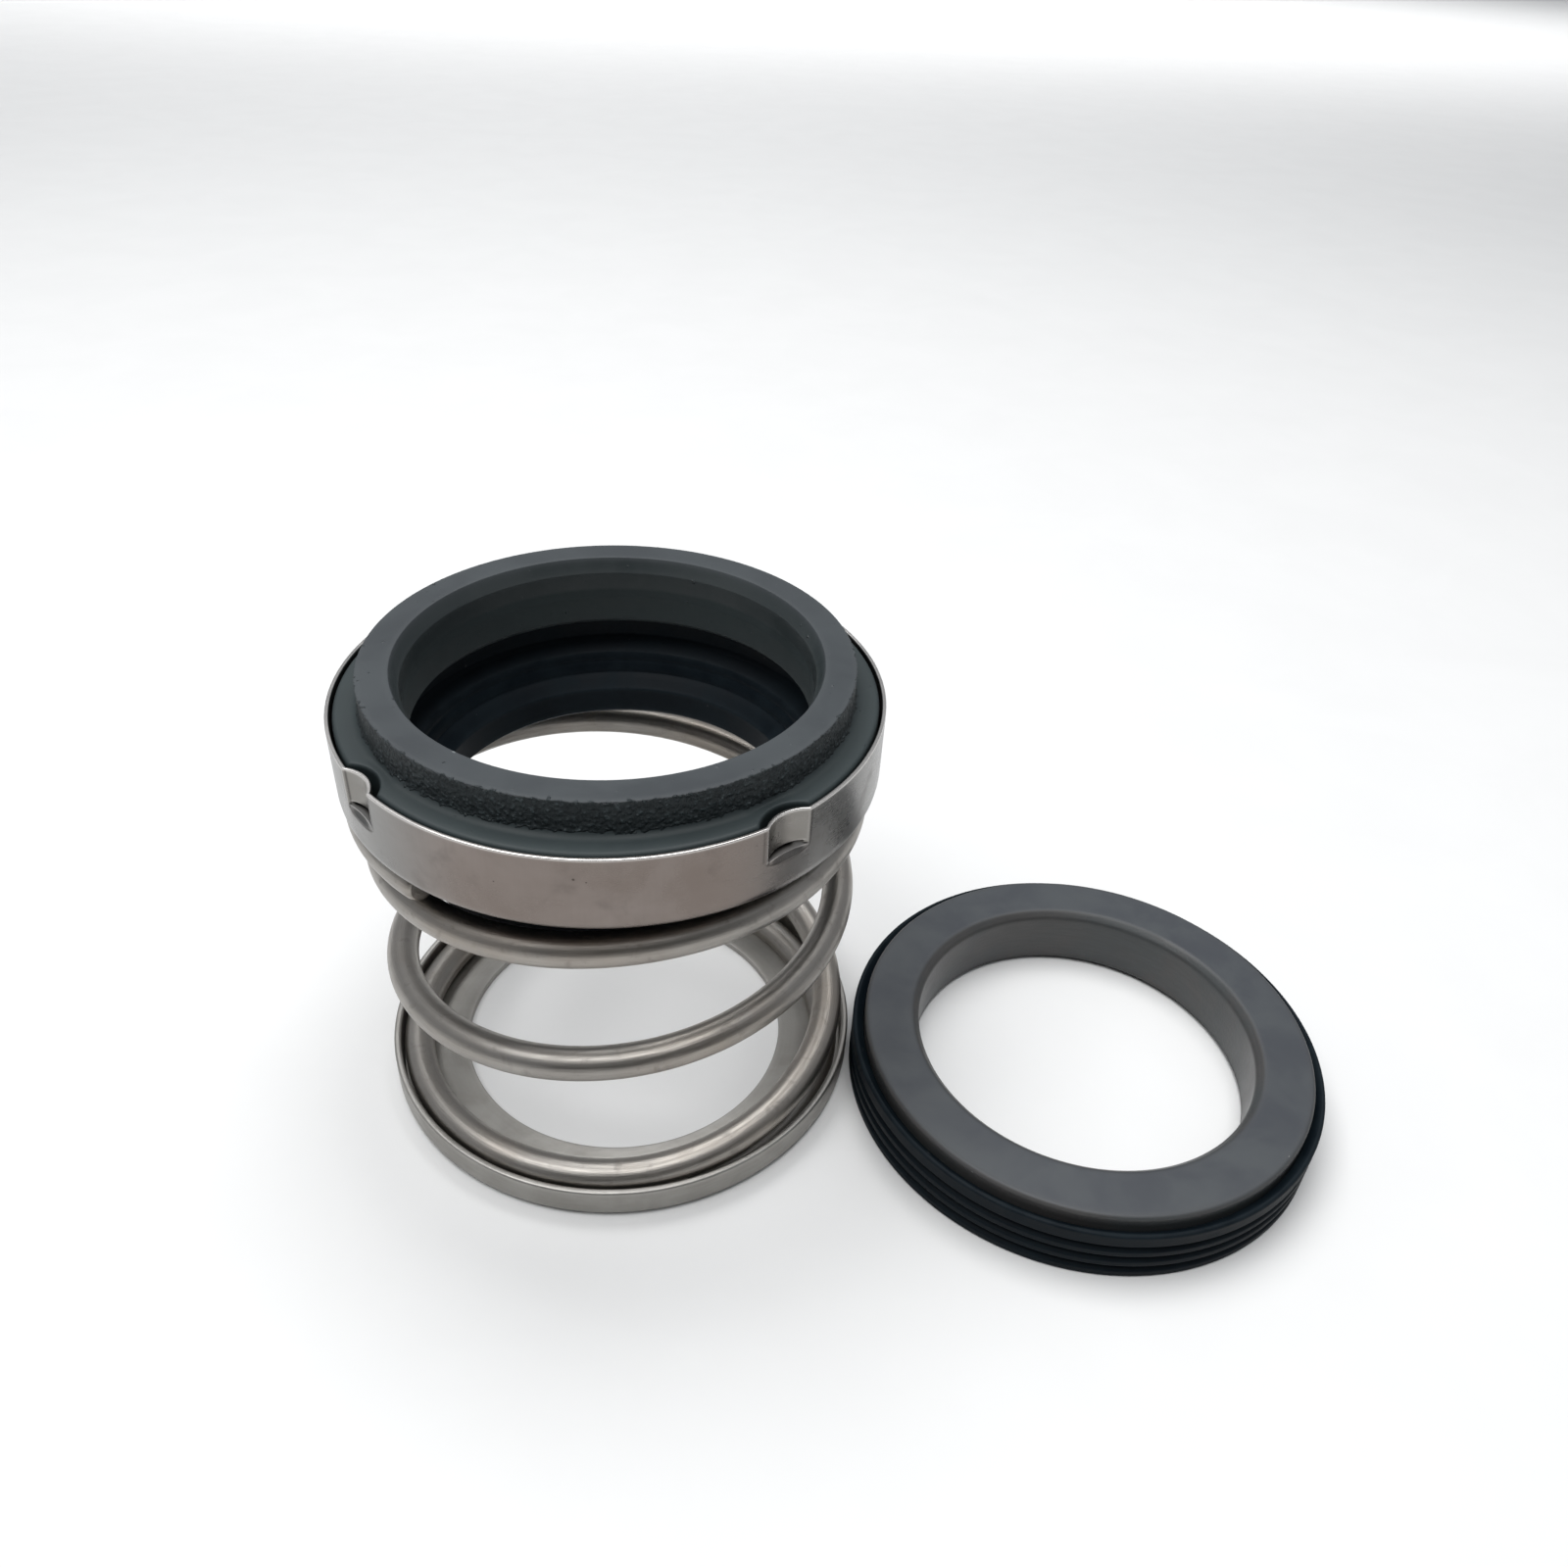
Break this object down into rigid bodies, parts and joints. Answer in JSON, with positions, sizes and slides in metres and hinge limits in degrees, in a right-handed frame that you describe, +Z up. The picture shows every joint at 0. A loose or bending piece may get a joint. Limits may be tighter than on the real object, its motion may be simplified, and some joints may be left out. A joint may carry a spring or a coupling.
{
  "type": "mechanical seal",
  "caption": "Rubber bellows mechanical seal: a dark seal ring in a lugged steel can on a coil spring and dished seat, with its rubber-booted stationary ring beside it.",
  "frame": {"origin": "on the head's axis, in the underside plane of the spring seat, which both units stand on", "axes": "+Z up along the shaft's axis, from the spring seat to the seal face; the stationary seat lies towards +X"},
  "size_m": [0.1114, 0.0692, 0.0545],
  "materials": {
    "primary_ring": "ground silicon carbide, matte",
    "retainer": "pressed stainless steel, satin",
    "bellows": "moulded nitrile, satin black",
    "spring": "drawn stainless wire, satin",
    "spring_seat": "pressed stainless steel, satin",
    "seat_ring": "lapped silicon carbide, satin",
    "seat_boot": "moulded nitrile, satin black"
  },
  "bodies": {
    "base": {"spring_seat": "spring_seat", "spring": "spring", "seat_ring": "seat_ring", "seat_boot": "seat_boot"},
    "sealing_head": {"primary_ring": "primary_ring", "retainer": "retainer", "bellows": "bellows"}
  },
  "joints": [
    {"name": "head_slide", "type": "slide", "parent": "base", "child": "sealing_head", "axis": [0, 0, 1], "range_m": [-0.024, 0], "stiffness_N_per_m": 5000, "deforming": ["spring"]}
  ]
}
